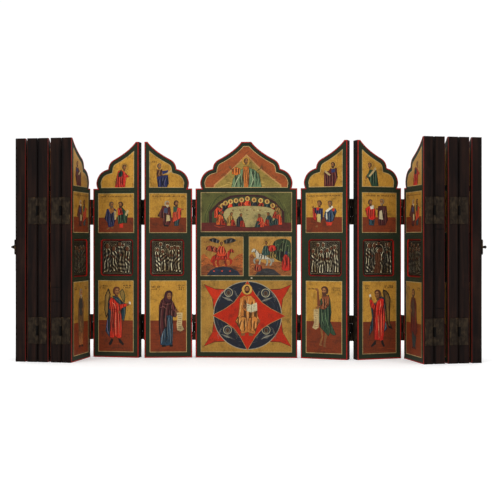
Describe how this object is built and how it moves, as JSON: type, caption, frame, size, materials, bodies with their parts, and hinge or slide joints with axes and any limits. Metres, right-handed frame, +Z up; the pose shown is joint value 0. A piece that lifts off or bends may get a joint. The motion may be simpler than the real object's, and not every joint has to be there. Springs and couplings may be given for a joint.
{
  "type": "folding travel iconostasis",
  "caption": "Folding wooden travel iconostasis: a wide painted centre panel with an ogee top and narrow hinged leaves on both sides, each with a metal relief plaque.",
  "frame": {"origin": "middle of the centre panel's bottom face, on the surface the icon stands on", "axes": "+X along the width of the centre panel, to the right as its painted front is seen; -Y is the painted front; +Z up"},
  "size_m": [0.6317, 0.0889, 0.297],
  "materials": {
    "painted_board": "painted front in dark green, gold and red under old varnish, dark brown edges and back",
    "gilded_silver": "satin embossed silver with worn gilding",
    "dark_brass": "dark aged brass"
  },
  "bodies": {
    "centre": {"centre_panel": "painted_board"},
    "left_1": {"left_leaf_1": "painted_board", "left_plaque_1": "gilded_silver", "left_hinge_1_upper": "dark_brass", "left_hinge_1_lower": "dark_brass"},
    "left_2": {"left_leaf_2": "painted_board", "left_plaque_2": "gilded_silver", "left_hinge_2_upper": "dark_brass", "left_hinge_2_lower": "dark_brass"},
    "left_3": {"left_leaf_3": "painted_board", "left_plaque_3": "gilded_silver", "left_hinge_3_upper": "dark_brass", "left_hinge_3_lower": "dark_brass"},
    "left_4": {"left_leaf_4": "painted_board", "left_plaque_4": "gilded_silver", "left_hinge_4_upper": "dark_brass", "left_hinge_4_lower": "dark_brass"},
    "left_5": {"left_leaf_5": "painted_board", "left_plaque_5": "gilded_silver", "left_hinge_5_upper": "dark_brass", "left_hinge_5_lower": "dark_brass"},
    "left_6": {"left_leaf_6": "painted_board", "left_plaque_6": "gilded_silver", "left_hinge_6_upper": "dark_brass", "left_hinge_6_lower": "dark_brass"},
    "left_7": {"left_leaf_7": "painted_board", "left_plaque_7": "gilded_silver", "left_hinge_7_upper": "dark_brass", "left_hinge_7_lower": "dark_brass", "left_clasp": "dark_brass"},
    "right_1": {"right_leaf_1": "painted_board", "right_plaque_1": "gilded_silver", "right_hinge_1_upper": "dark_brass", "right_hinge_1_lower": "dark_brass"},
    "right_2": {"right_leaf_2": "painted_board", "right_plaque_2": "gilded_silver", "right_hinge_2_upper": "dark_brass", "right_hinge_2_lower": "dark_brass"},
    "right_3": {"right_leaf_3": "painted_board", "right_plaque_3": "gilded_silver", "right_hinge_3_upper": "dark_brass", "right_hinge_3_lower": "dark_brass"},
    "right_4": {"right_leaf_4": "painted_board", "right_plaque_4": "gilded_silver", "right_hinge_4_upper": "dark_brass", "right_hinge_4_lower": "dark_brass"},
    "right_5": {"right_leaf_5": "painted_board", "right_plaque_5": "gilded_silver", "right_hinge_5_upper": "dark_brass", "right_hinge_5_lower": "dark_brass"},
    "right_6": {"right_leaf_6": "painted_board", "right_plaque_6": "gilded_silver", "right_hinge_6_upper": "dark_brass", "right_hinge_6_lower": "dark_brass"},
    "right_7": {"right_leaf_7": "painted_board", "right_plaque_7": "gilded_silver", "right_hinge_7_upper": "dark_brass", "right_hinge_7_lower": "dark_brass", "right_clasp": "dark_brass"}
  },
  "joints": [
    {"name": "left_fold_1", "type": "hinge", "parent": "centre", "child": "left_1", "pos_m": [-0.07225, -0.0076, 0.1245], "axis": [0, 0, 1], "range_deg": [-6, 174]},
    {"name": "left_fold_2", "type": "hinge", "parent": "left_1", "child": "left_2", "pos_m": [-0.14345, 0.0002, 0.1245], "axis": [0, 0, -1], "range_deg": [-14, 166.01]},
    {"name": "left_fold_3", "type": "hinge", "parent": "left_2", "child": "left_3", "pos_m": [-0.21489, -0.00511, 0.1245], "axis": [0, 0, 1], "range_deg": [-88, 92]},
    {"name": "left_fold_4", "type": "hinge", "parent": "left_3", "child": "left_4", "pos_m": [-0.24201, -0.07141, 0.1245], "axis": [0, 0, -1], "range_deg": [-177, 3]},
    {"name": "left_fold_5", "type": "hinge", "parent": "left_4", "child": "left_5", "pos_m": [-0.24857, -0.00008, 0.1245], "axis": [0, 0, 1], "range_deg": [-148, 2]},
    {"name": "left_fold_6", "type": "hinge", "parent": "left_5", "child": "left_6", "pos_m": [-0.27453, -0.06684, 0.1245], "axis": [0, 0, -1], "range_deg": [-177.5, 2.5]},
    {"name": "left_fold_7", "type": "hinge", "parent": "left_6", "child": "left_7", "pos_m": [-0.28171, 0.00443, 0.1245], "axis": [0, 0, 1], "range_deg": [-179, 1]},
    {"name": "right_fold_1", "type": "hinge", "parent": "centre", "child": "right_1", "pos_m": [0.07225, -0.0076, 0.1245], "axis": [0, 0, -1], "range_deg": [-17, 163]},
    {"name": "right_fold_2", "type": "hinge", "parent": "right_1", "child": "right_2", "pos_m": [0.14364, -0.01353, 0.1245], "axis": [0, 0, 1], "range_deg": [-38, 142.01]},
    {"name": "right_fold_3", "type": "hinge", "parent": "right_2", "child": "right_3", "pos_m": [0.21443, -0.00264, 0.1245], "axis": [0, 0, -1], "range_deg": [-95, 85]},
    {"name": "right_fold_4", "type": "hinge", "parent": "right_3", "child": "right_4", "pos_m": [0.24834, -0.06573, 0.1245], "axis": [0, 0, 1], "range_deg": [-176, 4]},
    {"name": "right_fold_5", "type": "hinge", "parent": "right_4", "child": "right_5", "pos_m": [0.24865, 0.0059, 0.1245], "axis": [0, 0, -1], "range_deg": [-147, 3]},
    {"name": "right_fold_6", "type": "hinge", "parent": "right_5", "child": "right_6", "pos_m": [0.28145, -0.05778, 0.1245], "axis": [0, 0, 1], "range_deg": [-177, 3]},
    {"name": "right_fold_7", "type": "hinge", "parent": "right_6", "child": "right_7", "pos_m": [0.28177, 0.01385, 0.1245], "axis": [0, 0, -1], "range_deg": [-178, 2]}
  ],
  "couplings": [
    {"joint": "left_fold_2", "follows": "left_fold_1", "ratio": 0.95402},
    {"joint": "right_fold_2", "follows": "right_fold_1", "ratio": 0.87117}
  ]
}
